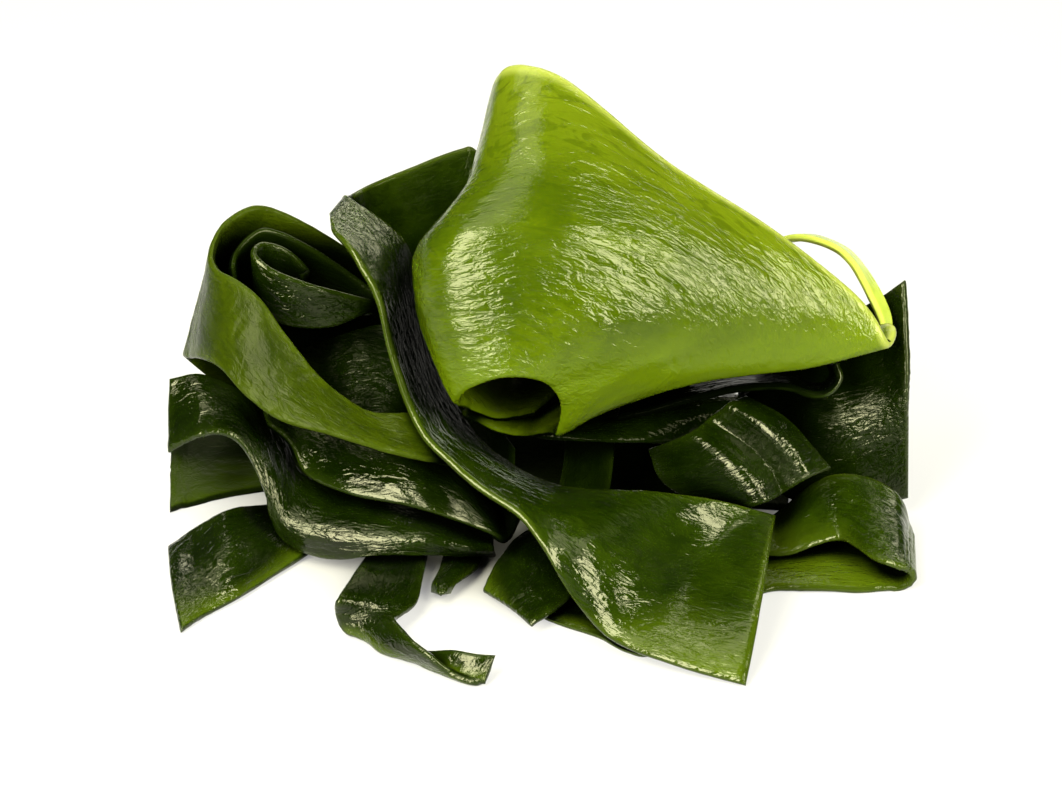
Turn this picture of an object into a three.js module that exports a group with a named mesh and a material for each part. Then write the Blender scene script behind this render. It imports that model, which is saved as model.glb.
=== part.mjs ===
// Kelp frond: one frond of a finger-strapped kelp, cut off at its stipe and dropped in a heap.
// The young pale sheet is rolled into an open hood on top of the heap. The older dark straps
// fork from the blade's base, under the hood, and lie folded and curled around it on the floor.
// Millimetres, +Z up. Seen from the front, +X is to the right and +Y is away from the viewer.

import * as THREE from 'three';

// Driving dimensions
const HOOD_THICKNESS = 2.4;
const STRAP_THICKNESS = 2;
const ROLL_THICKNESS = 1.8;
const TIP_THICKNESS = 1.6;
const STIPE_DIAMETER = 9;

// Shares of the base's length: the stipe is round up to the first and a flat sheet from the second
const STIPE_ROUND_TO = 0.2;
const STIPE_FLAT_FROM = 0.5;

// Facets of a strap from one station to the next
const FACETS_PER_STATION = 3;
const FACETS_PER_STATION_LONG = 2;

// Looks of wet kelp, from the young sheet to the oldest straps
const YOUNG = { color: 0x86a51c, roughness: 0.3, metalness: 0 };
const GREEN = { color: 0x4f7a14, roughness: 0.3, metalness: 0 };
const DARK = { color: 0x2c4f0c, roughness: 0.28, metalness: 0 };
const DARKEST = { color: 0x1f3d08, roughness: 0.28, metalness: 0 };

// Stations
// Each strap is a list of stations along it. A station holds points across the strap, from one
// edge to the other, on the middle of its thickness. One with only its two edges is straight.

// From the narrow mouth at the front to the wide rim at the back, going round the roll
const HOOD = [
  [[0, -7, 36], [9, 5, 39], [19, 21, 43.5], [30, 34, 52.5], [43.5, 44, 60.5]],
  [[-8.5, -9, 36], [-6.5, 8, 38.5], [-0.5, 26, 49], [9.5, 38, 64], [22, 46, 74]],
  [[-15, -14, 41], [-18.5, 6, 46.5], [-18.5, 24, 61], [-9, 36, 75.5], [2.5, 46, 94]],
  [[-17.5, -18, 44.5], [-26, 0, 56], [-27, 11, 72.5], [-15, 27, 83.5], [-6.5, 38, 106]],
  [[-19, -21, 47], [-27.5, -10, 63.5], [-28.5, -2, 79.5], [-17, 14, 88.5], [-9, 29, 112]],
  [[-16, -25, 53], [-22, -20, 69], [-21.5, -12, 86.5], [-11.5, 4, 98], [-4.5, 24, 118.5]],
  [[-8, -28, 57.5], [-5, -23, 73], [-1, -13, 90], [4, 1, 101.5], [8.5, 20, 115.5]],
  [[0, -27, 56.5], [11, -22, 69], [22, -13, 82.5], [29.5, -2, 90], [35, 14, 95]],
  [[4.5, -24, 52], [21.5, -20, 60.5], [38.5, -13, 70], [51.5, -6, 75.5], [63, 5, 79]],
  [[6.5, -21, 45.5], [24, -18, 52.5], [44.5, -13, 59], [64, -8, 62], [82, -1, 65]],
  [[5.5, -17, 36.5], [21.5, -14, 44], [45, -10, 49], [68, -7, 50.5], [89, -4, 55]],
  [[3.5, -11, 33], [20, -6, 40], [45, 0, 46], [68.5, 2, 50], [90.5, 3, 56]],
  [[-3.5, -9, 31], [14.5, 8, 37], [40, 22, 42.5], [66, 24, 48], [80, 12, 50]],
  [[-9.5, -10, 32.5], [7, 16, 34.5], [29, 32, 40], [52.5, 38, 48.5], [66, 28, 50]],
  [[-18, -9.5, 37], [-3.5, 20, 32.5], [14.5, 40, 37], [36, 48, 45.5], [52, 49, 54]],
  [[-13, -1, 30], [-1, 19, 26.5], [12, 36, 25.5], [28, 49, 27], [46, 56, 31]],
  [[-5, 1, 25.5], [-0.5, 13.5, 24], [7.5, 28.5, 21.5], [17, 40, 19.5], [26.5, 48, 17.5]],
];

// The narrow strip split from the hood's rim, which loops behind the hood's right end
const RIM_LOOP = [
  [[89, 7, 50.5], [91, 11, 49]],
  [[87.5, 8, 55.5], [90.5, 13, 54]],
  [[85, 12, 60], [88.5, 18, 57.5]],
  [[82, 19, 64], [85, 28, 60]],
  [[78, 26, 66], [81, 37, 61]],
  [[72.5, 32, 66], [74, 43, 61.5]],
  [[67.5, 37, 64.5], [69, 48, 59]],
  [[63, 41, 61], [63.5, 52, 55.5]],
  [[58.5, 44, 56.5], [59, 54, 51.5]],
];

// From the base up the back, round the left shoulder, down the front and out to the front right
const LONG_STRAP = [
  [[34, 58, 11.5], [36, 63.5, 14]],
  [[24.5, 56, 15], [28.5, 63, 26]],
  [[12, 55, 27], [15, 64, 44.5]],
  [[0, 54, 41], [-1.5, 62, 63.5]],
  [[-9, 50, 51], [-14.5, 58, 79]],
  [[-17, 48, 51], [-19, 57, 81]],
  [[-30, 44, 51], [-32, 53, 77.5]],
  [[-41.5, 41, 55.5], [-42.5, 48, 75]],
  [[-49, 34, 66], [-47.5, 41, 75]],
  [[-52, 24, 76.5], [-48, 34, 77.5]],
  [[-51, 14, 77], [-45.5, 29, 77.5]],
  [[-47, 6, 76], [-39.5, 26, 74.5]],
  [[-42.5, 1, 71], [-33.5, 24, 69.5]],
  [[-39, -4, 65.5], [-30.5, 22, 59.5]],
  [[-36.5, -10, 57.5], [-27.5, 15, 46]],
  [[-32, -17, 45.5], [-21.5, 6, 33]],
  [[-26, -25, 37.5], [-13.5, -3, 25]],
  [[-14.5, -33, 30], [-1.5, -10, 19.5]],
  [[-3, -41, 25], [12.5, -17, 19.5]],
  [[6.5, -50, 13], [12, -47, 21], [21, -34, 22], [27.5, -22, 22]],
  [[16.5, -62, 5], [22, -54, 14], [33, -36, 15], [41.5, -23, 21]],
  [[30.5, -71.5, 3], [35.5, -52, 8.5], [45, -32, 11], [52, -23, 18.5]],
  [[50.5, -79, 1], [54, -64, 10], [57.5, -44, 15], [60.5, -22, 14.5]],
];

// The short dark tip at the front, from under the long strap to its cut end
const CENTRE_TIP = [
  [[8, 13, 20.5], [14.5, 12, 21.5], [21, 11, 22.5]],
  [[7, 1, 14], [13, -1.5, 15], [19.5, -3.5, 14]],
  [[3.5, -11, 9], [9.5, -18, 10], [15.5, -23.5, 9]],
  [[-5.5, -19, 6], [3, -30, 8], [11, -37.5, 7]],
  [[-9.5, -26, 3], [-1, -40, 6], [8.5, -46, 5]],
  [[-13, -35, 1], [-7, -45, 2.5], [-1, -56.5, 4]],
];

// The standing loop at the left, from its front lip round the left end to its back wall
const LEFT_LOOP = [
  [[-26.5, -4, 33.5], [-20, -16, 26]],
  [[-32.5, -10, 38], [-25, -22, 30.5]],
  [[-43, -9, 38.5], [-37.5, -21, 33]],
  [[-53, -5, 44], [-51.5, -18, 36]],
  [[-62, 0, 53.5], [-64, -14, 38]],
  [[-69, 4, 63], [-73, -8, 42]],
  [[-75, 8, 66.5], [-79.5, -1, 46]],
  [[-80.5, 13, 67.5], [-85, 8, 44]],
  [[-82, 20, 69.5], [-89, 19, 38.5]],
  [[-79.5, 28, 73], [-90.5, 28, 33]],
  [[-72, 34, 75], [-79, 37, 18]],
  [[-62, 37, 70], [-66, 40, 15.5]],
  [[-49.5, 38, 61.5], [-54, 40, 19.5]],
  [[-39, 36, 55.5], [-43, 37, 27]],
  [[-30, 32.5, 52], [-33, 34, 30]],
];

// The roll that stands inside the loop, from its outer end to the middle of its coil
const LEFT_ROLL = [
  [[-77.5, 17, 65.5], [-76, 17, 53]],
  [[-76.5, 22, 68], [-76, 23, 52]],
  [[-70, 28, 71.5], [-71, 31, 49.5]],
  [[-60.5, 30, 67], [-61.5, 33, 45.5]],
  [[-50.5, 29, 60.5], [-51, 31, 46]],
  [[-42, 25, 55.5], [-43, 26, 47.5]],
  [[-40, 20, 55], [-41, 20, 51.5]],
  [[-43.5, 16, 57.5], [-43.5, 16, 53]],
  [[-52, 14, 61], [-51, 13, 51]],
  [[-59.5, 13, 64], [-60, 12, 51]],
  [[-67, 14, 67], [-66.5, 13, 52.5]],
  [[-71.5, 17, 70], [-71, 17, 55]],
  [[-69.5, 22, 70.5], [-69, 22, 55.5]],
  [[-63.5, 24, 67.5], [-63, 24, 53]],
  [[-58.5, 22, 63], [-59, 22, 50.5]],
  [[-60, 18.5, 63], [-61, 18.5, 51.5]],
];

// The slope under the loop and its lip, from the left to the point under the long strap
const LEFT_MID = [
  [[-72, 22, 37], [-71.5, 15, 34], [-70.5, 8, 31], [-68.5, 1, 28.5]],
  [[-65, 24, 38.5], [-64.5, 15, 33], [-63, 6, 29], [-62.5, -4, 25.5]],
  [[-56, 26, 40], [-53.5, 14, 34], [-53.5, 1, 28.5], [-58, -10, 20]],
  [[-47, 26, 43], [-43, 13, 36], [-44, -5, 27.5], [-46.5, -18, 19]],
  [[-38.5, 26, 44.5], [-34.5, 13, 36], [-33, -10, 27], [-32.5, -22, 18]],
  [[-30.5, 24, 41.5], [-26.5, 11, 29.5], [-23.5, -11, 23.5], [-20, -25, 15.5]],
  [[-21, 19, 30.5], [-18.5, 0, 20.5], [-14.5, -19, 18], [-11.5, -29, 14]],
  [[-11, 9, 25.5], [-8.5, -12, 12], [-7.5, -23, 12], [-7, -29, 12]],
  [[-5, 3, 20.5], [-5, -3, 17], [-4, -11, 14.5], [-3, -18, 13]],
];

// The arch at the far left, which drops into a rounded band along the front of the heap
const LEFT_ARCH = [
  [[-94.5, 16, 34], [-94.5, 10, 26.5], [-94, 2, 20]],
  [[-86.5, 16, 35.5], [-86, 8, 31.5], [-87, -1, 26]],
  [[-77.5, 14, 32.5], [-78, 5, 30], [-79.5, -4, 28.5]],
  [[-70.5, 11, 27], [-71.5, -3, 27], [-74, -8, 26.5]],
  [[-64.5, 5, 22], [-66.5, -12, 21], [-69, -15, 19.5]],
  [[-60.5, -2, 17], [-62.5, -18, 13], [-64, -17.5, 6]],
  [[-52.5, -5, 14], [-53, -22, 11.5], [-52.5, -22, 3]],
  [[-42, -7, 13], [-40, -25, 12], [-39.5, -28, 7]],
  [[-29.5, -9, 10.5], [-27.5, -27, 12], [-26.5, -27.5, 7]],
  [[-18, -10, 7], [-18, -27, 10], [-17, -25.5, 6]],
  [[-10, -10, 4.5], [-10.5, -24, 7.5], [-10, -20, 3]],
];

// The strap that lies on the floor under the heap, from the far left to the right
const LEFT_BACK = [
  [[-95, 5, 1], [-96.5, 25, 2], [-97.5, 39, 8]],
  [[-89, 9, 1], [-89, 26, 3], [-89.5, 39, 8]],
  [[-71, 16, 1], [-70.5, 28.5, 3], [-70.5, 36, 8]],
  [[-46, 13.5, 1], [-46.5, 28, 2], [-47, 40, 6]],
  [[-17, 11, 1], [-17, 28, 3], [-17.5, 40, 14]],
  [[9, 11, 1], [9.5, 27, 3], [10, 38, 13]],
  [[33, 11, 1], [33, 25, 3], [33.5, 33.5, 11]],
  [[52, 8, 1], [52, 20, 2], [52, 28, 6]],
  [[66, 6, 1], [67, 17, 2], [68, 25, 4]],
];

// The strap end at the front left, from under the arch over a ridge to its cut end
const LEFT_TIP = [
  [[-59.5, 6.5, 2.5], [-57.5, -4, 2], [-55.5, -15.5, 2]],
  [[-69, 2.5, 4], [-65.5, -12.5, 4], [-62, -23, 1]],
  [[-78, -12.5, 11], [-76, -28.5, 9], [-73.5, -38.5, 1]],
  [[-86.5, -15, 7], [-84, -33.5, 6], [-81.5, -47, 1]],
  [[-93, -18, 3], [-90.5, -39, 4], [-87, -54.5, 1]],
];

// The small strap at the front, which folds over a crest and ends in a gutter
const SMALL_CURL = [
  [[-40.5, -10, 1], [-27, -13, 1]],
  [[-45, -33.5, 5.5], [-28, -36.5, 5]],
  [[-48, -54.5, 11], [-29.5, -47, 4]],
  [[-49, -54.5, 7], [-33.5, -54.5, 5]],
  [[-46.5, -55, 1], [-34, -60.5, 8]],
  [[-37.5, -59.5, 1], [-37.5, -63.5, 1.5], [-29.5, -69.5, 8]],
  [[-27, -66.5, 3], [-29.5, -67.5, 1], [-25, -74.5, 6.5]],
  [[-20, -71, 6], [-22.5, -72, 1], [-20.5, -75.5, 3]],
  [[-14.5, -73.5, 6.5], [-16, -76, 1], [-15.5, -78.5, 2]],
  [[-9.5, -73.5, 6], [-11, -76.5, 3], [-12, -78.5, 1]],
];

// The smallest tip, beside the small strap
const SMALL_TIP = [
  [[-23, -14, 1], [-17.5, -17, 2.5], [-12, -15, 1]],
  [[-24, -27.5, 3], [-19.5, -29, 4.5], [-14.5, -27, 2.5]],
  [[-25.5, -34.5, 3], [-22.5, -37, 5], [-20, -36, 3]],
  [[-25.5, -36, 1], [-23.5, -41.5, 3.5], [-21.5, -36, 1]],
];

// The pleated strap under the hood at the right, from the base to its cut end
const RIGHT_FOLD = [
  [[29.5, 2, 21], [39, -6, 30], [44, -2, 32], [49, -3, 37], [53.5, 2, 36]],
  [[32, -5, 16], [48, -15, 26.5], [54, -9, 28], [58, -11, 34.5], [63.5, -5, 33.5]],
  [[39.5, -10, 13.5], [53.5, -19, 22.5], [59.5, -13, 23.5], [64.5, -15, 29.5], [70, -9, 28]],
  [[51, -13, 13], [57, -21, 18], [62.5, -16, 18], [68.5, -18, 23.5], [75, -13, 24]],
];

// Out to the right, over at the right end, and back along the floor under the long strap
const RIGHT_TURN = [
  [[42, 4, 15.5], [42.5, -3, 14]],
  [[40, -1.5, 8], [41, -12.5, 6]],
  [[50, -6.5, 6.5], [50.5, -21, 5]],
  [[60, -6, 5], [61, -23, 3.5]],
  [[68, -4, 11], [68.5, -22, 5]],
  [[76, -2, 15.5], [78, -19, 6]],
  [[85.5, -4, 16], [84.5, -31.5, 8]],
  [[92.5, -8, 12.5], [90.5, -36, 8]],
  [[95.5, -11, 6], [93.5, -35, 6.5]],
  [[96, -14.5, 4], [94.5, -34.5, 4]],
  [[93.5, -15, 1.5], [92, -34, 1]],
  [[83, -8, 1], [82.5, -35.5, 1]],
  [[67.5, -8, 1], [67.5, -35, 1]],
  [[53.5, -14, 1], [57.5, -36, 1]],
  [[39, -30, 1], [44.5, -50, 1]],
  [[24, -35, 1], [27.5, -65.5, 1]],
  [[12.5, -35, 1], [16, -57, 1]],
  [[4, -37, 1], [2, -48.5, 1]],
];

// The standing blade behind the right end of the hood
const RIGHT_BACK = [
  [[42, 40, 13.5], [40, 31, 14], [38.5, 22, 11.5], [38, 13, 7]],
  [[53, 37, 14.5], [51, 30, 15], [49.5, 22, 13.5], [49, 13, 7]],
  [[59.5, 32, 35], [59.5, 26, 25.5], [60, 19, 17], [60, 10, 5.5]],
  [[69, 29, 38.5], [69, 19, 28.5], [70, 12, 20], [69.5, 5.5, 3]],
  [[79.5, 27, 46], [79, 15, 31.5], [81.5, 9, 24.5], [80.5, 4, 3]],
  [[88.5, 23, 54], [90, 11, 38], [90, 7, 27], [89.5, 4, 3.5]],
  [[95, 20, 60.5], [95.5, 7, 43], [96, 5, 29.5], [97, 5, 5]],
];

// The narrow strap just under the hood's lower edge, which ends in a hook
const RIGHT_HOOK = [
  [[21, 2, 29.5], [23, 14, 29]],
  [[29.5, 0, 33], [32.5, 16, 30]],
  [[39.5, -1, 37], [42.5, 16, 33.5]],
  [[52, -1, 40], [54.5, 16, 35]],
  [[63.5, -1, 40.5], [65.5, 14, 36]],
  [[69.5, -2, 39], [70, 11, 35]],
  [[74.5, -1, 39], [74, 10, 35.5]],
  [[77.5, 1, 42], [76.5, 11, 38]],
  [[76.5, 3, 45.5], [75.5, 12, 41]],
];

// The cut stipe at the back, and the undivided sheet that it widens into under the hood
const BASE = [
  [[45, 80, 5], [49.5, 80, 5], [54, 80, 5]],
  [[41.5, 66, 8.5], [46.5, 66, 9], [51.5, 66, 9.5]],
  [[29.5, 48, 14], [42, 49, 16.5], [54, 49, 18]],
  [[10.5, 28, 19], [29, 28, 22], [53.5, 30, 22]],
  [[1.5, 12, 22], [24.5, 10, 26.5], [53, 15, 28.5]],
  [[-1, 3, 24.5], [19, -3.5, 26], [39, 7, 20]],
];

// The smooth curve through points
function smooth(points) {
  return new THREE.CatmullRomCurve3(points, false, 'catmullrom', 0.5);
}

// Point c of a station that has the given number of columns across
function stationPoint(station, c, columns) {
  if (station.length === columns) {
    return new THREE.Vector3(...station[c]);
  }
  const start = new THREE.Vector3(...station[0]);
  const end = new THREE.Vector3(...station[1]);
  return start.lerp(end, c / (columns - 1));
}

// Rows of points on the middle surface of a strap
function middleSurface(stations, along, across) {
  const columns = Math.max(...stations.map((station) => station.length));
  const lines = [];
  for (let c = 0; c < columns; c += 1) {
    lines.push(smooth(stations.map((station) => stationPoint(station, c, columns))));
  }
  const rows = [];
  for (let i = 0; i <= along; i += 1) {
    const cross = smooth(lines.map((line) => line.getPoint(i / along)));
    const row = [];
    for (let j = 0; j <= across; j += 1) {
      row.push(cross.getPoint(j / across));
    }
    rows.push(row);
  }
  return rows;
}

// The unit normal of the middle surface at row i, column j
function surfaceNormal(rows, i, j) {
  const lastRow = rows.length - 1;
  const lastColumn = rows[0].length - 1;
  const along = rows[Math.min(i + 1, lastRow)][j].clone().sub(rows[Math.max(i - 1, 0)][j]);
  const across = rows[i][Math.min(j + 1, lastColumn)].clone().sub(rows[i][Math.max(j - 1, 0)]);
  return along.cross(across).normalize();
}

// A strap as a closed solid. thicknessAt(t, s) gives its thickness at share t of its length,
// with s from -1 at one edge to 1 at the other. Its middle stays half of that above the floor.
function strapGeometry(stations, along, across, thicknessAt) {
  const rows = middleSurface(stations, along, across);
  const upper = [];
  const lower = [];
  for (let i = 0; i <= along; i += 1) {
    for (let j = 0; j <= across; j += 1) {
      const half = thicknessAt(i / along, 2 * j / across - 1) / 2;
      rows[i][j].z = Math.max(rows[i][j].z, half);
    }
  }
  for (let i = 0; i <= along; i += 1) {
    for (let j = 0; j <= across; j += 1) {
      const half = thicknessAt(i / along, 2 * j / across - 1) / 2;
      const normal = surfaceNormal(rows, i, j);
      upper.push(rows[i][j].clone().addScaledVector(normal, half));
      lower.push(rows[i][j].clone().addScaledVector(normal, -half));
    }
  }
  const geometry = new THREE.BufferGeometry().setFromPoints([...upper, ...lower]);
  geometry.setIndex(strapFaces(along, across));
  geometry.computeVertexNormals();
  return geometry;
}

// Triangles of a strap: its two faces, its two long edges and its two ends
function strapFaces(along, across) {
  const faces = [];
  const under = (along + 1) * (across + 1);
  const at = (i, j) => i * (across + 1) + j;
  const quad = (a, b, c, d) => faces.push(a, b, c, a, c, d);
  const wall = (a, b) => quad(b, a, under + a, under + b);
  for (let i = 0; i < along; i += 1) {
    for (let j = 0; j < across; j += 1) {
      const corners = [at(i, j), at(i + 1, j), at(i + 1, j + 1), at(i, j + 1)];
      quad(...corners);
      quad(...corners.reverse().map((corner) => under + corner));
    }
    wall(at(i, 0), at(i + 1, 0));
    wall(at(i + 1, across), at(i, across));
  }
  for (let j = 0; j < across; j += 1) {
    wall(at(0, j + 1), at(0, j));
    wall(at(along, j), at(along, j + 1));
  }
  return faces;
}

// The base's thickness: a round stipe that flattens into a sheet
function baseThickness(t, s) {
  const round = Math.max(STRAP_THICKNESS, STIPE_DIAMETER * Math.sqrt(1 - s * s));
  const flat = THREE.MathUtils.smoothstep(t, STIPE_ROUND_TO, STIPE_FLAT_FROM);
  return THREE.MathUtils.lerp(round, HOOD_THICKNESS, flat);
}

// A strap as a named mesh. thickness is a length, or a function of the place on the strap.
function strap(name, stations, across, thickness, look, facets = FACETS_PER_STATION) {
  const along = facets * (stations.length - 1);
  const thicknessAt = typeof thickness === 'function' ? thickness : () => thickness;
  const geometry = strapGeometry(stations, along, across, thicknessAt);
  const mesh = new THREE.Mesh(geometry, new THREE.MeshStandardMaterial(look));
  mesh.name = name;
  return mesh;
}

// The frond
const frond = new THREE.Group();
frond.add(
  strap('hood', HOOD, 8, HOOD_THICKNESS, YOUNG),
  strap('rim_loop', RIM_LOOP, 2, STRAP_THICKNESS, YOUNG, FACETS_PER_STATION_LONG),
  strap('long_strap', LONG_STRAP, 5, STRAP_THICKNESS, GREEN, FACETS_PER_STATION_LONG),
  strap('centre_tip', CENTRE_TIP, 4, STRAP_THICKNESS, DARKEST),
  strap('left_loop', LEFT_LOOP, 5, STRAP_THICKNESS, GREEN),
  strap('left_roll', LEFT_ROLL, 3, ROLL_THICKNESS, DARK, FACETS_PER_STATION_LONG),
  strap('left_mid', LEFT_MID, 5, STRAP_THICKNESS, DARK),
  strap('left_arch', LEFT_ARCH, 5, STRAP_THICKNESS, DARK),
  strap('left_back', LEFT_BACK, 4, STRAP_THICKNESS, DARKEST, FACETS_PER_STATION_LONG),
  strap('left_tip', LEFT_TIP, 4, STRAP_THICKNESS, DARK),
  strap('small_curl', SMALL_CURL, 4, STRAP_THICKNESS, DARK),
  strap('small_tip', SMALL_TIP, 6, TIP_THICKNESS, DARK),
  strap('right_fold', RIGHT_FOLD, 8, STRAP_THICKNESS, DARKEST),
  strap('right_turn', RIGHT_TURN, 3, STRAP_THICKNESS, GREEN, FACETS_PER_STATION_LONG),
  strap('right_back', RIGHT_BACK, 6, STRAP_THICKNESS, DARKEST),
  strap('right_hook', RIGHT_HOOK, 3, STRAP_THICKNESS, DARK),
  strap('base', BASE, 6, baseThickness, DARKEST),
);

// The origin is on the floor, under the middle of the heap
const box = new THREE.Box3().setFromObject(frond);
const middle = box.getCenter(new THREE.Vector3());
frond.position.set(-middle.x, -middle.y, -box.min.z);

export default frond;
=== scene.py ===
"""Kelp frond: the wet, wrinkled look of a heap of kelp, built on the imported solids, in metres."""

import math

import bmesh
import bpy
import numpy as np
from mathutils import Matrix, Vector
from mathutils.bvhtree import BVHTree


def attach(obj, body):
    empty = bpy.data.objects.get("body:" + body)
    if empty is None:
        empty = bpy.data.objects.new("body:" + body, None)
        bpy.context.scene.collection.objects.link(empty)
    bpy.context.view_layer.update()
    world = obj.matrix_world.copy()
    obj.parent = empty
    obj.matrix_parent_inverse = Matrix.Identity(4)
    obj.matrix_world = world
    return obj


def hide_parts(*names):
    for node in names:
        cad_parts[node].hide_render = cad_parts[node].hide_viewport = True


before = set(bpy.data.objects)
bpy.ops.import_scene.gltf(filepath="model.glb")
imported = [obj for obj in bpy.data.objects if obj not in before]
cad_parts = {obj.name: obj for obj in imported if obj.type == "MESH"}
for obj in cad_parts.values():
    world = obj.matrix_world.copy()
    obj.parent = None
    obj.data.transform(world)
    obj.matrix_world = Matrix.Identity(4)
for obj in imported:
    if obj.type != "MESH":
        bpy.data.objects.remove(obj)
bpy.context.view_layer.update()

MM = 0.001

# Sizes
MESH_STEP = 0.62 * MM         # between neighbouring points of a strap
HOOD_MESH_STEP = 0.72 * MM    # the hood is the largest strap
MERGE_DISTANCE = 0.001 * MM   # between corners that are the same point of a solid
SAME_LENGTH = 0.001 * MM      # edges of a solid whose lengths differ by less are equal
PATTERN_UNIT = 100 * MM       # length of one unit of a strap's surface coordinates
RIM_STEPS = (0, 0.12, 0.4)    # first rows of points inside a rim, as shares of its rounding
RIM_START = 0.02              # share of its rounding where a rim begins, so that it isn't sharp

# Wrinkles of a strap: (width, height) in metres
BROAD_WAVE = (26 * MM, 0.6 * MM)
MIDDLE_WAVE = (9 * MM, 0.25 * MM)
CREASE = (4.6 * MM, 0.13 * MM)
FINE_CREASE = (2.4 * MM, 0.045 * MM)
CREASE_STRETCH = 2.6          # a crease is this much longer than wide
CREASE_BEND = 0.9             # how far a crease bends aside, in widths
CREASE_BEND_LENGTH = 4        # length of such a bend, in widths
CREASE_FALL = 3               # how steeply a crease falls off beside its ridge
CREASE_SHARE = 0.6            # share of the creases that shows on the mean
CREASE_SWING = 0.8            # how much that share varies
CREASE_LEAST = 0.15           # the least of it
EDGE_RUFFLE = (15 * MM, 0.5 * MM)
EDGE_RUFFLE_WIDTH = 6 * MM
EDGE_RUFFLE_REACH = 4         # a ruffle changes this much more slowly across the strap
CALM_RADIUS = 5 * MM          # a strap that bends as tightly has half of its wrinkles
NOISE_CELLS = 256             # the noise repeats after as many features
NOISE_GAIN = 1.4              # brings the noise to about -1 to 1

# Hollows of the heap, which get painted shade
HEAP_MIDDLE = (0, 12 * MM)    # of the floor that the heap covers
HEAP_HALF = (75 * MM, 50 * MM)
SIGHT_WAYS = 40               # directions in which a strap looks out of the heap
SIGHT_REACH = 80 * MM         # a strap sees nothing of the heap beyond this distance
SIGHT_START = 0.2 * MM        # a strap looks out from just above its surface

# Painted shade in the hollows, by the share of the surround that a strap sees: (none of its colour or
# gloss shows, all of it shows)
PAINTED_SHADE_LEVELS = (0.12, 0.5)
PAINTED_SHADE_GLOSS_LEVELS = (0.25, 0.66)
PAINTED_SHADE_COLOUR = (0.0005, 0.001, 0.0002)
HOLLOW_SHINE = 0.004

# The base, whose round stipe flattens into a sheet
BASE_LEVELS = 4               # times that each facet is divided in four
BASE_RIM_GAP = 50 * MM        # so far from a rim that nothing of its colour shows
BASE_OPEN = 0.36              # share of the surround that the base sees from under the hood, which sets its painted shade

# Wet skin
SKIN_IOR = 1.45
SKIN_TINT = (1, 1, 0.75, 1)
SCATTER_RADIUS = (0.7, 1.0, 0.15)
SCATTER_DEPTH = 1.6 * MM
CRINKLE_SQUEEZE = 0.45        # a crinkle's width divided by its length
CRINKLE_DEPTH = 0.9 * MM
GRAIN_DEPTH = 0.09 * MM
RIM_SOLID = 0.2               # share of a rim's width that has its full colour
PAINTED_GLOW_HEIGHTS = (1 * MM, 5 * MM)  # heights above the floor where its painted glow is full, and gone

# Noise of the skin: features in one unit of the surface coordinates
PATCH_COUNT = 6.0
VEIN_COUNT = 26.0
FILM_COUNT = 18.0
CRINKLE_PATCH_COUNT = 4.5
GRAIN_COUNT = 170.0

# Noise of the skin: the levels between which it blends, and from what to what
PATCH_LEVELS = (0.34, 0.66)
VEIN_LEVELS = (0.38, 0.5)
VEIN_SHARES = (0.55, 1)       # of the colour that is left in a vein, and beside it
FILM_LEVELS = (0.35, 0.7)
FILM_WET = 0.03               # less roughness where the film is wettest
FILM_DRY = 0.08               # more roughness where it is driest
CRINKLE_LEVELS = (0.36, 0.6)
CRINKLE_SHARES = (0.3, 1.15)  # of the crinkles beside a crinkled patch, and in it

# Floor and light
FLOOR_HALF = 3
FLOOR_GREY = (0.19, 0.19, 0.19, 1)
FLOOR_GLOW_STRENGTH = 0.6
FLOOR_GLOW_EDGE = (0.7, 1.3)  # where the glow starts and is full, in halves of the heap
LIGHT_COLOUR = (1, 0.97, 0.74)
LIGHT_AIM = Vector((0, -10, 50)) * MM
SURROUND_STRENGTH = 0.045

# The photograph's camera
PHOTO_WIDTH_PX = 1062
CAMERA_ELEVATION = math.radians(28)
CAMERA_DISTANCE = 0.9
CAMERA_FOCAL_PX = 3600
CAMERA_SENSOR = 36
CAMERA_AIM = Vector((-0.8, -14.8, 45)) * MM


# Reading a strap's solid
def merged_solid(node):
    """A CAD node's triangles with shared corners, as a new bmesh."""
    solid = bmesh.new()
    solid.from_mesh(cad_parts[node].data)
    bmesh.ops.remove_doubles(solid, verts=solid.verts, dist=MERGE_DISTANCE)
    solid.verts.index_update()
    solid.faces.index_update()
    solid.faces.ensure_lookup_table()
    return solid


def two_sides(solid):
    """The triangles of a strap's two sides. Those of its rim have an edge as long as it is thick."""
    lengths = np.array([edge.calc_length() for edge in solid.edges])
    sizes, counts = np.unique(np.round(lengths / SAME_LENGTH), return_counts=True)
    thickness = sizes[counts.argmax()] * SAME_LENGTH
    seen = set()
    for edge, length in zip(solid.edges, lengths):
        if abs(length - thickness) < SAME_LENGTH / 2:
            seen.update(face.index for face in edge.link_faces)
    sides = []
    for first in solid.faces:
        if first.index in seen:
            continue
        seen.add(first.index)
        side = [first]
        for face in side:
            for other in (other for edge in face.edges for other in edge.link_faces):
                if other.index not in seen:
                    seen.add(other.index)
                    side.append(other)
        sides.append([tuple(v.index for v in face.verts) for face in side])
    return sides


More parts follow.
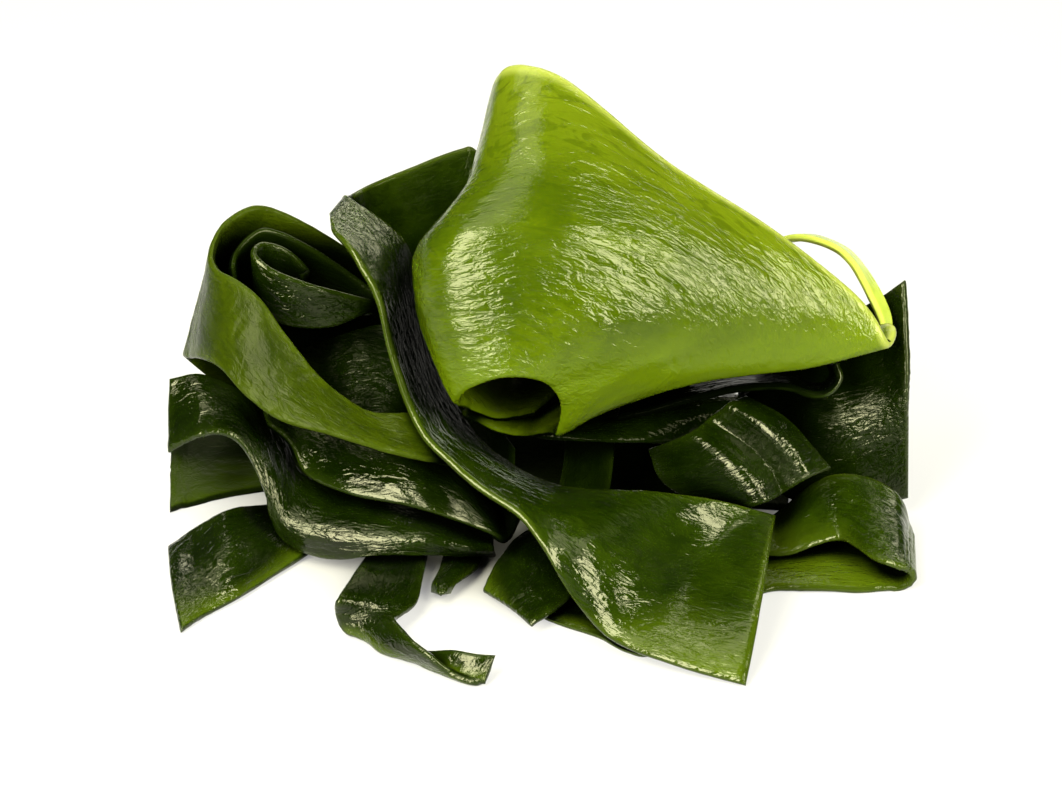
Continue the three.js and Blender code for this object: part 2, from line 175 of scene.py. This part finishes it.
def side_grid(triangles):
    """Corner numbers of one side in rows. Two triangles fill each cell between the rows."""
    at_edge = {}
    uses = {}
    for triangle in triangles:
        for k in range(3):
            uses[triangle[k]] = uses.get(triangle[k], 0) + 1
            at_edge.setdefault(frozenset((triangle[k], triangle[k - 1])), []).append(triangle)
    used = set()

    def over(a, b):
        """The unused triangle on the edge from a to b, or None at the rim."""
        return next((t for t in at_edge[frozenset((a, b))] if t not in used), None)

    def third(triangle, a, b):
        """The corner of a triangle that isn't a or b."""
        return next(corner for corner in triangle if corner not in (a, b))

    first = next(triangle for triangle in triangles if 1 in (uses[corner] for corner in triangle))
    start = next(corner for corner in first if uses[corner] == 1)
    above = next(corner for corner in first if corner != start)
    rows = []
    while above is not None:
        low = [start]
        high = [above]
        while (triangle := over(low[-1], high[-1])) is not None:
            used.add(triangle)
            low.append(third(triangle, low[-1], high[-1]))
            triangle = over(low[-1], high[-1])
            used.add(triangle)
            high.append(third(triangle, low[-1], high[-1]))
        rows.append(low)
        start = high[0]
        triangle = over(high[0], high[1])
        above = third(triangle, high[0], high[1]) if triangle else None
    rows.append(high)
    return rows


def strap_surface(node):
    """A strap's middle surface, its long way first and its upper edge last, and half its thickness."""
    solid = merged_solid(node)
    points = np.array([v.co for v in solid.verts])
    one, two = [points[np.array(side_grid(side))] for side in two_sides(solid)]
    solid.free()
    if one.shape != two.shape:
        two = two.transpose(1, 0, 2)
    flips = [two, two[::-1], two[:, ::-1], two[::-1, ::-1]]
    if one.shape[0] == one.shape[1]:
        flips += [flip.transpose(1, 0, 2) for flip in flips]
    two = min(flips, key=lambda flip: np.linalg.norm(flip - one, axis=2).sum())
    middle = (one + two) / 2
    half = np.linalg.norm(one - two, axis=2).mean() / 2
    if way_length(middle, 0) < way_length(middle, 1):
        middle = middle.transpose(1, 0, 2)
    if middle[:, 0, 2].mean() > middle[:, -1, 2].mean():
        middle = middle[:, ::-1]
    return middle, half


def way_length(points, way):
    """Mean length of an array of points along one of its two ways."""
    return np.linalg.norm(np.diff(points, axis=way), axis=2).sum(axis=way).mean()


# A fine surface
def through_points(points, places):
    """Points on the smooth curves through an array's rows, at places from 0 to its last row."""
    before = 2 * points[:1] - points[1:2]
    after = 2 * points[-1:] - points[-2:-1]
    padded = np.concatenate([before, points, after])
    row = np.clip(np.floor(places).astype(int), 0, len(points) - 2)
    t = (places - row)[:, None, None]
    a, b, c, d = (padded[row + k] for k in range(4))
    return 0.5 * (2 * b + (c - a) * t + (2 * a - 5 * b + 4 * c - d) * t**2
                  + (3 * b - 3 * c + d - a) * t**3)


def refined(grid, along, across):
    """The smooth surface through an array, at shares of its two ways."""
    rows = through_points(grid, along * (len(grid) - 1))
    columns = through_points(rows.transpose(1, 0, 2), across * (grid.shape[1] - 1))
    return columns.transpose(1, 0, 2)


def even_shares(length, step, rim):
    """Shares of a length from 0 to 1, about a step apart, and closer within the rim at both ends."""
    inner = np.linspace(rim, length - rim, max(2, round((length - 2 * rim) / step)) + 1)
    start = np.array(RIM_STEPS) * rim
    return np.concatenate([start, inner, length - start[::-1]]) / length


def surface_normals(points):
    """Unit normals of an array of points."""
    along = np.gradient(points, axis=0)
    across = np.gradient(points, axis=1)
    normals = np.cross(along, across)
    return normals / np.maximum(np.linalg.norm(normals, axis=2, keepdims=True), 1e-12)


# Wrinkles
def smooth_noise(u, v, seed):
    """Noise from about -1 to 1 with a feature size of one, the same on every run."""
    rng = np.random.default_rng(seed)
    shuffle = rng.permutation(NOISE_CELLS)
    angle = rng.uniform(0, 2 * np.pi, NOISE_CELLS)
    iu = np.floor(u).astype(int)
    iv = np.floor(v).astype(int)
    fu = u - iu
    fv = v - iv

    def slope(du, dv):
        """The noise that starts at one corner of a cell."""
        turn = angle[shuffle[(iu + du + shuffle[(iv + dv) % NOISE_CELLS]) % NOISE_CELLS]]
        return np.cos(turn) * (fu - du) + np.sin(turn) * (fv - dv)

    su = fu**3 * (fu * (6 * fu - 15) + 10)
    sv = fv**3 * (fv * (6 * fv - 15) + 10)
    low = slope(0, 0) * (1 - su) + slope(1, 0) * su
    high = slope(0, 1) * (1 - su) + slope(1, 1) * su
    return NOISE_GAIN * (low * (1 - sv) + high * sv)


def creases(u, v, size, seed, turn):
    """Bent ridges up to 1 high, longer than wide. turn is their slant to the strap's length."""
    bend_size = CREASE_BEND_LENGTH * size
    bend = CREASE_BEND * size * smooth_noise(u / bend_size, v / bend_size, seed)
    p = u * math.cos(turn) + v * math.sin(turn)
    q = v * math.cos(turn) - u * math.sin(turn) + bend
    return 1 - CREASE_FALL * np.abs(smooth_noise(p / (size * CREASE_STRETCH), q / size, seed + 1))


def wrinkles(u, v, edge, seed, turn, strength):
    """Height of a strap's wrinkles at surface coordinates u and v."""
    size, height = BROAD_WAVE
    total = height * smooth_noise(u / size, v / size, seed)
    size, height = MIDDLE_WAVE
    total += height * smooth_noise(u / size, v / size, seed + 1)
    patch = CREASE_SHARE + CREASE_SWING * smooth_noise(u / (2 * size), v / (2 * size), seed + 2)
    patch = np.clip(patch, CREASE_LEAST, 1)
    for size, height in (CREASE, FINE_CREASE):
        seed += 3
        total += height * patch * creases(u, v, size, seed, turn)
    size, height = EDGE_RUFFLE
    near = np.clip(1 - edge / EDGE_RUFFLE_WIDTH, 0, 1) ** 2
    total += height * near * smooth_noise(u / size, v / (EDGE_RUFFLE_REACH * size), seed + 5)
    return strength * total


def calm_bends(points):
    """Share of its wrinkles that a strap keeps, from 1 where it is flat to 0 in its tightest bends."""
    steps = np.gradient(points, axis=0)
    lengths = np.linalg.norm(steps, axis=2, keepdims=True)
    turns = np.linalg.norm(np.gradient(steps / lengths, axis=0) / lengths, axis=2)
    return 1 / (1 + (CALM_RADIUS * turns) ** 2)


# Hollows
def heap_tree():
    """All solids of the heap, ready for rays."""
    points = []
    triangles = []
    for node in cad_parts.values():
        node.data.calc_loop_triangles()
        start = len(points)
        points += [node.matrix_world @ v.co for v in node.data.vertices]
        triangles += [[start + k for k in triangle.vertices] for triangle in node.data.loop_triangles]
    return BVHTree.FromPolygons(points, triangles)


def even_ways(count):
    """Directions that are spread evenly over a sphere."""
    k = np.arange(count) + 0.5
    turn = k * math.pi * (3 - math.sqrt(5))
    rise = 1 - 2 * k / count
    flat = np.sqrt(1 - rise**2)
    return np.stack([flat * np.cos(turn), flat * np.sin(turn), rise], axis=1)


def sees_out(tree, start, way):
    """Whether a ray meets neither the heap nor the floor under it."""
    if tree.ray_cast(start, way, SIGHT_REACH)[0] is not None:
        return False
    if way.z >= 0:
        return True
    place = start + way * (start.z / -way.z)
    across = (place.x - HEAP_MIDDLE[0]) / HEAP_HALF[0]
    along = (place.y - HEAP_MIDDLE[1]) / HEAP_HALF[1]
    return across**2 + along**2 > 1


def share_seen(tree, start, normal, ways):
    """Share of the surround that a point of a surface sees."""
    facing = ways @ normal
    ahead = np.flatnonzero(facing > 0)
    clear = sum(facing[k] for k in ahead if sees_out(tree, start, Vector(ways[k])))
    return clear / facing[ahead].sum()


def openness(tree, middle, half):
    """Share of the surround that each side of a strap sees, from 0 in the heap to 1 in the open."""
    normals = surface_normals(middle)
    ways = even_ways(2 * SIGHT_WAYS)
    sides = []
    for side in (1, -1):
        seen = np.zeros(middle.shape[:2])
        for i, j in np.ndindex(seen.shape):
            normal = side * normals[i, j]
            start = Vector(middle[i, j] + normal * (half + SIGHT_START))
            seen[i, j] = share_seen(tree, start, normal, ways)
        sides.append(seen)
    return sides


heap_solids = heap_tree()


# Strap meshes
def strap_mesh(name, middle, half, step, seed, turn, strength, upper_rim_only):
    """A strap's fine closed mesh with rounded edges and its point attributes."""
    length = way_length(middle, 0)
    width = way_length(middle, 1)
    along = even_shares(length, step, half)
    across = even_shares(width, step, half)
    points = refined(middle, along, across)
    row_width = np.linalg.norm(np.diff(points, axis=1), axis=2).sum(axis=1)[:, None]
    u = np.repeat((along * length)[:, None], len(across), axis=1)
    v = (across[None, :] - 0.5) * row_width
    side_gap = np.minimum(across, 1 - across)[None, :] * row_width
    end_gap = np.minimum(along, 1 - along)[:, None] * length
    edge = np.minimum(side_gap, end_gap)
    height = calm_bends(points) * wrinkles(u, v, edge, seed, turn, strength)
    points = points + surface_normals(points) * height[..., None]
    corners = two_faced(points, edge, half)
    mesh = bpy.data.meshes.new(name)
    mesh.from_pydata(corners.tolist(), [], strap_faces(len(along), len(across)))
    mesh.shade_smooth()
    coordinates = np.stack([u, v], axis=2).reshape(-1, 2) / PATTERN_UNIT
    add_coordinates(mesh, np.concatenate([coordinates, coordinates]))
    # The hood's paler margin and rim, with their painted backlight, follow only its upper edge
    upper_gap = (1 - across)[None, :] * row_width
    rim_gap = upper_gap if upper_rim_only else edge
    add_gap(mesh, "rim_gap", np.tile(rim_gap.ravel(), 2))
    # Height above the floor, for the painted glow near it
    add_gap(mesh, "floor_gap", corners[:, 2])
    # How much each side sees of the surround, which sets its painted shade
    open_sides = [refined(seen[..., None], along, across).ravel()
                  for seen in openness(heap_solids, middle, half)]
    add_share(mesh, "open", np.concatenate(open_sides))
    return mesh


def two_faced(points, edge, half):
    """The points of a strap's two sides, which meet at its rounded edges and stay above the floor."""
    round_off = np.sqrt(1 - (1 - np.clip(edge / half, RIM_START, 1)) ** 2)
    offset = surface_normals(points) * (half * round_off)[..., None]
    corners = np.concatenate([(points + offset).reshape(-1, 3), (points - offset).reshape(-1, 3)])
    corners[:, 2] = np.maximum(corners[:, 2], 0)
    return corners


def strap_faces(rows, columns):
    """Quads of a strap: its two sides, and its rim."""
    grid = np.arange(rows * columns).reshape(rows, columns)
    under = rows * columns
    top = np.stack([grid[:-1, :-1], grid[1:, :-1], grid[1:, 1:], grid[:-1, 1:]], axis=2).reshape(-1, 4)
    rim = np.concatenate([grid[:-1, 0], grid[-1, :-1], grid[:0:-1, -1], grid[0, :0:-1]])
    ahead = np.roll(rim, -1)
    wall = np.stack([ahead, rim, rim + under, ahead + under], axis=1)
    return np.concatenate([top, top[:, ::-1] + under, wall]).tolist()


def add_coordinates(mesh, coordinates):
    """A coordinate map from one pair of coordinates a vertex."""
    corner = np.zeros(len(mesh.loops), dtype=np.int32)
    mesh.loops.foreach_get("vertex_index", corner)
    layer = mesh.uv_layers.new(name="strap")
    layer.data.foreach_set("uv", coordinates[corner].astype(np.float32).ravel())


def add_gap(mesh, name, gap):
    """A distance in millimetres as an attribute of the mesh's points."""
    attribute = mesh.attributes.new(name, "FLOAT", "POINT")
    attribute.data.foreach_set("value", (gap / MM).astype(np.float32))


def add_share(mesh, name, share):
    """A share from 0 to 1 as an attribute of the mesh's points."""
    attribute = mesh.attributes.new(name, "FLOAT", "POINT")
    attribute.data.foreach_set("value", np.clip(share, 0, 1).astype(np.float32))


# Shader nodes
def add_node(tree, kind, place, **settings):
    """A shader node at a place in the tree, with its settings and constant inputs."""
    node = tree.nodes.new(kind)
    node.location = place
    for name, value in settings.items():
        if name in node.inputs:
            node.inputs[name].default_value = value
        else:
            setattr(node, name, value)
    return node


def add_noise(tree, place, coordinates, **settings):
    """Noise over a strap's surface coordinates. Its scale is a count of features in one unit."""
    noise = add_node(tree, "ShaderNodeTexNoise", place, **settings)
    tree.links.new(coordinates, noise.inputs["Vector"])
    return noise.outputs["Fac"]


def add_range(tree, place, value, start, end, kind="SMOOTHSTEP"):
    """A value brought from one range to another. Each range is a pair."""
    share = add_node(tree, "ShaderNodeMapRange", place, interpolation_type=kind)
    share.inputs["From Min"].default_value = start[0]
    share.inputs["From Max"].default_value = start[1]
    share.inputs["To Min"].default_value = end[0]
    share.inputs["To Max"].default_value = end[1]
    tree.links.new(value, share.inputs["Value"])
    return share.outputs["Result"]


def add_mix(tree, place, share, first, second):
    """A mix of two colours by a share. Each colour is a tuple or another node's output."""
    mix = add_node(tree, "ShaderNodeMix", place, data_type="RGBA")
    tree.links.new(share, mix.inputs["Factor"])
    for socket, colour in ((mix.inputs[6], first), (mix.inputs[7], second)):
        if isinstance(colour, tuple):
            socket.default_value = (*colour, 1)
        else:
            tree.links.new(colour, socket)
    return mix.outputs[2]


def add_nearness(tree, place, gap_name, near, far):
    """A share that falls from 1 at the near distance to 0 at the far one."""
    gap = add_node(tree, "ShaderNodeAttribute", place, attribute_name=gap_name)
    return add_range(tree, (place[0] + 220, place[1]), gap.outputs["Fac"], (near / MM, far / MM), (1, 0))


def add_bump(tree, place, height, strength, depth):
    """A bumpy skin. depth is the height of its bumps in metres."""
    bump = add_node(tree, "ShaderNodeBump", place, Strength=strength, Distance=depth)
    tree.links.new(height, bump.inputs["Height"])
    return bump


# Materials
def kelp_material(name, body, deep, glow, pale_backlit_margin, backlit_margin_width, rim, rim_width, roughness, shine,
                  scatter, slant, crinkle, crinkle_width, painted_glow_heights=PAINTED_GLOW_HEIGHTS):
    """Wet kelp: mottled colour, a painted glow near the floor, a paler margin and rim that carry painted
    backlight, and painted shade in the hollows, under a wet skin.
    """
    material = bpy.data.materials.new(name)
    material.use_nodes = True
    tree = material.node_tree
    tree.nodes.clear()
    link = tree.links.new
    output = add_node(tree, "ShaderNodeOutputMaterial", (900, 0))
    skin = add_node(tree, "ShaderNodeBsdfPrincipled", (600, 0))
    skin.inputs["IOR"].default_value = SKIN_IOR
    skin.inputs["Specular Tint"].default_value = SKIN_TINT
    skin.inputs["Subsurface Weight"].default_value = scatter
    skin.inputs["Subsurface Radius"].default_value = SCATTER_RADIUS
    skin.inputs["Subsurface Scale"].default_value = SCATTER_DEPTH
    link(skin.outputs["BSDF"], output.inputs["Surface"])

    strap = add_node(tree, "ShaderNodeUVMap", (-1400, 0), uv_map="strap").outputs["UV"]
    squeeze = (CRINKLE_SQUEEZE, 1, 1)
    mapping = add_node(tree, "ShaderNodeMapping", (-1200, 0), Rotation=(0, 0, slant), Scale=squeeze)
    link(strap, mapping.inputs["Vector"])
    slanted = mapping.outputs["Vector"]

    # Colour: broad patches, then the paler margin with painted backlight, dark veins, a painted glow of
    # the floor, and the paler rim with painted backlight
    tone = mottled(tree, strap, deep, body)
    near_backlit_margin = add_nearness(tree, (-900, 500), "rim_gap", 0, backlit_margin_width)
    margin_with_backlight = add_mix(tree, (-300, 350), near_backlit_margin, tone, pale_backlit_margin)
    margin_with_backlight = veined(tree, slanted, deep, margin_with_backlight)
    near_floor = add_nearness(tree, (-900, 700), "floor_gap", *painted_glow_heights)
    with_painted_glow = add_mix(tree, (-100, 450), near_floor, margin_with_backlight, glow)
    near_rim = add_nearness(tree, (-900, 900), "rim_gap", RIM_SOLID * rim_width, rim_width)
    with_pale_backlit_rim = add_mix(tree, (100, 550), near_rim, with_painted_glow, rim)

    # Painted shade: black and dull where the strap sees little of the surround
    seen = add_node(tree, "ShaderNodeAttribute", (-200, 800), attribute_name="open").outputs["Fac"]
    unshaded_share = add_range(tree, (0, 800), seen, PAINTED_SHADE_LEVELS, (0, 1))
    link(add_mix(tree, (300, 500), unshaded_share, PAINTED_SHADE_COLOUR, with_pale_backlit_rim), skin.inputs["Base Color"])
    shining = add_range(tree, (0, 1000), seen, PAINTED_SHADE_GLOSS_LEVELS, (HOLLOW_SHINE, shine))
    link(shining, skin.inputs["Specular IOR Level"])

    # Gloss: a wet film with duller patches
    film = add_noise(tree, (-900, -50), slanted, Scale=FILM_COUNT, Detail=4.0)
    film_roughness = (roughness - FILM_WET, roughness + FILM_DRY)
    rough = add_range(tree, (-450, -50), film, FILM_LEVELS, film_roughness, "LINEAR")
    link(rough, skin.inputs["Roughness"])
    link(crinkled(tree, strap, slanted, crinkle, crinkle_width), skin.inputs["Normal"])
    return material


def mottled(tree, strap, deep, body):
    """Broad patches of the deep and the body colour."""
    patches = add_noise(tree, (-900, 300), strap, Scale=PATCH_COUNT, Detail=5.0, Roughness=0.6)
    spread = add_range(tree, (-700, 300), patches, PATCH_LEVELS, (0, 1), "LINEAR")
    return add_mix(tree, (-450, 300), spread, deep, body)


def veined(tree, slanted, deep, colour):
    """A colour with veins of the deep colour."""
    veins = add_noise(tree, (-900, 1150), slanted, Scale=VEIN_COUNT, Detail=3.0, Roughness=0.55,
                      Distortion=1.6)
    between = add_range(tree, (-700, 1150), veins, VEIN_LEVELS, VEIN_SHARES)
    return add_mix(tree, (-200, 350), between, deep, colour)


def crinkled(tree, strap, slanted, crinkle, crinkle_width):
    """Normals of a skin with slanted crinkles in patches, and a fine pebbled grain."""
    count = PATTERN_UNIT / crinkle_width
    folds = add_noise(tree, (-900, -350), slanted, Scale=count, Detail=2.5, Roughness=0.55,
                      Distortion=0.8)
    patches = add_noise(tree, (-900, -850), slanted, Scale=CRINKLE_PATCH_COUNT, Detail=3.0)
    share = add_range(tree, (-650, -850), patches, CRINKLE_LEVELS, CRINKLE_SHARES)
    height = add_node(tree, "ShaderNodeMath", (-400, -500), operation="MULTIPLY")
    tree.links.new(folds, height.inputs[0])
    tree.links.new(share, height.inputs[1])
    fold_bump = add_bump(tree, (-200, -350), height.outputs["Value"], crinkle, CRINKLE_DEPTH)
    grain = add_noise(tree, (-900, -600), strap, Scale=GRAIN_COUNT, Detail=2.0)
    grain_bump = add_bump(tree, (100, -450), grain, crinkle, GRAIN_DEPTH)
    tree.links.new(fold_bump.outputs["Normal"], grain_bump.inputs["Normal"])
    return grain_bump.outputs["Normal"]


# The pale young sheet, with painted backlight at its upper rim and margin and a painted glow of the floor
# over its lower part
YOUNG = kelp_material("kelp_young", body=(0.034, 0.0545, 0.0006), deep=(0.017, 0.031, 0.0004),
                      glow=(0.054, 0.085, 0.001), pale_backlit_margin=(0.058, 0.082, 0.002), backlit_margin_width=26 * MM,
                      rim=(0.165, 0.195, 0.034), rim_width=3 * MM,
                      roughness=0.11, shine=0.27, scatter=0.3, slant=math.radians(24), crinkle=0.48,
                      crinkle_width=1.4 * MM, painted_glow_heights=(50 * MM, 70 * MM))

# The strip split off its rim, pale, with painted backlight in its colour
PALE_BACKLIT = kelp_material("kelp_pale_backlit", body=(0.3, 0.37, 0.05), deep=(0.2, 0.26, 0.03),
                     glow=(0.3, 0.37, 0.05), pale_backlit_margin=(0.3, 0.37, 0.05), backlit_margin_width=2 * MM,
                     rim=(0.32, 0.38, 0.06), rim_width=1 * MM,
                     roughness=0.2, shine=0.15, scatter=0.3, slant=0, crinkle=0.2,
                     crinkle_width=1.4 * MM)

# The loop at the left, which is hardly wet
LEAF = kelp_material("kelp_leaf", body=(0.018, 0.0285, 0.0004), deep=(0.007, 0.0125, 0.0003),
                     glow=(0.031, 0.05, 0.0012), pale_backlit_margin=(0.019, 0.03, 0.0006), backlit_margin_width=5 * MM,
                     rim=(0.019, 0.03, 0.0012), rim_width=1.4 * MM,
                     roughness=0.24, shine=0.06, scatter=0.2, slant=math.radians(50), crinkle=0.7,
                     crinkle_width=1.9 * MM)

# Green wet straps
GREEN = kelp_material("kelp_green", body=(0.0088, 0.0175, 0.0004), deep=(0.0027, 0.0067, 0.0002),
                      glow=(0.033, 0.053, 0.0012), pale_backlit_margin=(0.01, 0.019, 0.0006), backlit_margin_width=5 * MM,
                      rim=(0.0175, 0.029, 0.0012), rim_width=1.4 * MM,
                      roughness=0.07, shine=0.3, scatter=0.15, slant=math.radians(35), crinkle=0.55,
                      crinkle_width=1.8 * MM, painted_glow_heights=(1 * MM, 11 * MM))

# Dark wet straps
DARK = kelp_material("kelp_dark", body=(0.0036, 0.0078, 0.00025), deep=(0.0012, 0.003, 0.0001),
                     glow=(0.025, 0.041, 0.0012), pale_backlit_margin=(0.0044, 0.0088, 0.0003), backlit_margin_width=4 * MM,
                     rim=(0.0063, 0.012, 0.0006), rim_width=1.2 * MM,
                     roughness=0.06, shine=0.32, scatter=0.1, slant=math.radians(-30), crinkle=0.65,
                     crinkle_width=1.8 * MM)

# The strap under the heap: a darker, duller copy of the dark straps, with painted shade in its colour
DULL_PAINTED_SHADE = kelp_material("kelp_dull_painted_shade", body=(0.0012, 0.003, 0.0001), deep=(0.0006, 0.0012, 0.0001),
                     glow=(0.019, 0.033, 0.0012), pale_backlit_margin=(0.0012, 0.003, 0.0001), backlit_margin_width=4 * MM,
                     rim=(0.0025, 0.005, 0.0003), rim_width=1.2 * MM,
                     roughness=0.4, shine=0.06, scatter=0.1, slant=math.radians(-30), crinkle=0.4,
                     crinkle_width=1.8 * MM)


# Straps
def add_piece(name, mesh, material, node):
    """A piece that stands for a CAD node and rides on the frond."""
    mesh.materials.append(material)
    piece = bpy.data.objects.new(name, mesh)
    bpy.context.scene.collection.objects.link(piece)
    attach(piece, "root")
    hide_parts(node)
    return piece


def add_strap(node, material, seed, turn=0.6, strength=1.0, step=MESH_STEP, upper_rim_only=False):
    """The fine mesh of one strap."""
    middle, half = strap_surface(node)
    mesh = strap_mesh(node + "_skin", middle, half, step, seed, turn, strength, upper_rim_only)
    return add_piece(node + "_skin", mesh, material, node)


add_strap("hood", YOUNG, seed=11, turn=0.1, step=HOOD_MESH_STEP, upper_rim_only=True)
add_strap("rim_loop", PALE_BACKLIT, seed=17, strength=0.3)
add_strap("long_strap", GREEN, seed=23, strength=0.75)
add_strap("left_loop", LEAF, seed=31, turn=0.9)
add_strap("right_turn", GREEN, seed=43)
add_strap("left_roll", DARK, seed=53, strength=0.6)
add_strap("left_mid", DARK, seed=61)
add_strap("left_arch", DARK, seed=71)
add_strap("left_back", DULL_PAINTED_SHADE, seed=83)
add_strap("left_tip", DARK, seed=97)
add_strap("small_curl", DARK, seed=101, strength=0.6)
add_strap("small_tip", DARK, seed=113, strength=0.5)
add_strap("centre_tip", DARK, seed=127)
add_strap("right_fold", DARK, seed=131)
add_strap("right_back", DARK, seed=149)
add_strap("right_hook", DARK, seed=157, strength=0.6)


# Base
def add_base():
    """The base's solid with its facets smoothed and its skin wrinkled."""
    solid = merged_solid("base")
    bmesh.ops.join_triangles(solid, faces=solid.faces, angle_face_threshold=math.pi,
                             angle_shape_threshold=math.pi)
    mesh = smoothed(solid)
    solid.free()
    points = np.array([v.co for v in mesh.vertices])
    normals = np.array([v.normal for v in mesh.vertices])
    gap = np.full(len(points), BASE_RIM_GAP)
    height = wrinkles(points[:, 0], points[:, 1], gap, seed=167, turn=0.6, strength=0.6)
    points = points + normals * height[:, None]
    mesh.vertices.foreach_set("co", points.ravel())
    mesh.shade_smooth()
    add_coordinates(mesh, points[:, :2] / PATTERN_UNIT)
    add_gap(mesh, "rim_gap", gap)
    add_gap(mesh, "floor_gap", points[:, 2])
    # One share for the whole base, which sets its painted shade
    add_share(mesh, "open", np.full(len(points), BASE_OPEN))
    return add_piece("base_skin", mesh, DARK, "base")


def smoothed(solid):
    """A bmesh with rounded facets, as a new mesh."""
    coarse = bpy.data.meshes.new("base_coarse")
    solid.to_mesh(coarse)
    piece = bpy.data.objects.new("base_coarse", coarse)
    bpy.context.scene.collection.objects.link(piece)
    rounding = piece.modifiers.new("rounding", "SUBSURF")
    rounding.levels = BASE_LEVELS
    mesh = bpy.data.meshes.new_from_object(piece.evaluated_get(bpy.context.evaluated_depsgraph_get()))
    mesh.name = "base_skin"
    bpy.data.objects.remove(piece)
    bpy.data.meshes.remove(coarse)
    return mesh


add_base()


# Floor, light and camera
def floor_material():
    """White that glows like a light table, except under the heap."""
    material = bpy.data.materials.new("floor_white")
    material.use_nodes = True
    tree = material.node_tree
    paint = tree.nodes["Principled BSDF"]
    paint.inputs["Base Color"].default_value = FLOOR_GREY
    paint.inputs["Roughness"].default_value = 0.7
    paint.inputs["Specular IOR Level"].default_value = 0.1
    paint.inputs["Emission Color"].default_value = (1, 1, 1, 1)
    place = add_node(tree, "ShaderNodeTexCoord", (-900, -200))
    shared = add_node(tree, "ShaderNodeMapping", (-700, -200), vector_type="TEXTURE")
    shared.inputs["Location"].default_value = (*HEAP_MIDDLE, 0)
    shared.inputs["Scale"].default_value = (*HEAP_HALF, 1)
    tree.links.new(place.outputs["Object"], shared.inputs["Vector"])
    apart = add_node(tree, "ShaderNodeVectorMath", (-500, -200), operation="LENGTH")
    tree.links.new(shared.outputs["Vector"], apart.inputs[0])
    glow = add_range(tree, (-300, -200), apart.outputs["Value"], FLOOR_GLOW_EDGE, (0, FLOOR_GLOW_STRENGTH))
    tree.links.new(glow, paint.inputs["Emission Strength"])
    return material


def add_floor():
    """A plain white floor."""
    size = FLOOR_HALF
    mesh = bpy.data.meshes.new("floor")
    mesh.from_pydata([(-size, -size, 0), (size, -size, 0), (size, size, 0), (-size, size, 0)], [],
                     [(0, 1, 2, 3)])
    mesh.materials.append(floor_material())
    floor = bpy.data.objects.new("floor", mesh)
    bpy.context.scene.collection.objects.link(floor)


def add_softbox(name, azimuth, elevation, distance, width, height, radiance):
    """A soft light that faces the heap. Azimuth is in degrees from the front, to the right."""
    turn = math.radians(azimuth)
    rise = math.radians(elevation)
    outward = Vector((math.sin(turn) * math.cos(rise), -math.cos(turn) * math.cos(rise), math.sin(rise)))
    light = bpy.data.lights.new(name, "AREA")
    light.shape = "RECTANGLE"
    light.size = width
    light.size_y = height
    light.energy = radiance * math.pi * width * height
    light.color = LIGHT_COLOUR
    box = bpy.data.objects.new(name, light)
    box.location = LIGHT_AIM + outward * distance
    box.rotation_mode = "QUATERNION"
    box.rotation_quaternion = (-outward).to_track_quat("-Z", "Y")
    bpy.context.scene.collection.objects.link(box)


def add_surround():
    """A weak, even surround."""
    world = bpy.data.worlds.new("surround")
    world.use_nodes = True
    background = world.node_tree.nodes["Background"]
    background.inputs["Color"].default_value = (*LIGHT_COLOUR, 1)
    background.inputs["Strength"].default_value = SURROUND_STRENGTH
    bpy.context.scene.world = world


def add_camera():
    """The photograph's camera."""
    data = bpy.data.cameras.new("camera")
    data.sensor_width = CAMERA_SENSOR
    data.lens = CAMERA_SENSOR * CAMERA_FOCAL_PX / PHOTO_WIDTH_PX
    camera = bpy.data.objects.new("camera", data)
    back = Vector((0, -math.cos(CAMERA_ELEVATION), math.sin(CAMERA_ELEVATION)))
    camera.location = CAMERA_AIM + back * CAMERA_DISTANCE
    camera.rotation_mode = "QUATERNION"
    camera.rotation_quaternion = (-back).to_track_quat("-Z", "Y")
    bpy.context.scene.collection.objects.link(camera)
    bpy.context.scene.camera = camera


add_floor()
add_surround()
add_softbox("left_box", azimuth=-36, elevation=35, distance=0.9, width=0.4, height=0.9, radiance=32)
add_softbox("right_box", azimuth=50, elevation=30, distance=0.9, width=0.34, height=0.7, radiance=29)
add_softbox("top_box", azimuth=-80, elevation=72, distance=0.9, width=0.6, height=0.5, radiance=4.5)
add_softbox("back_box", azimuth=172, elevation=60, distance=1.0, width=0.4, height=0.2, radiance=8)
add_softbox("low_box", azimuth=168, elevation=31, distance=1.0, width=1.3, height=0.22, radiance=6.5)
add_camera()

bpy.context.scene.view_settings.view_transform = "Standard"
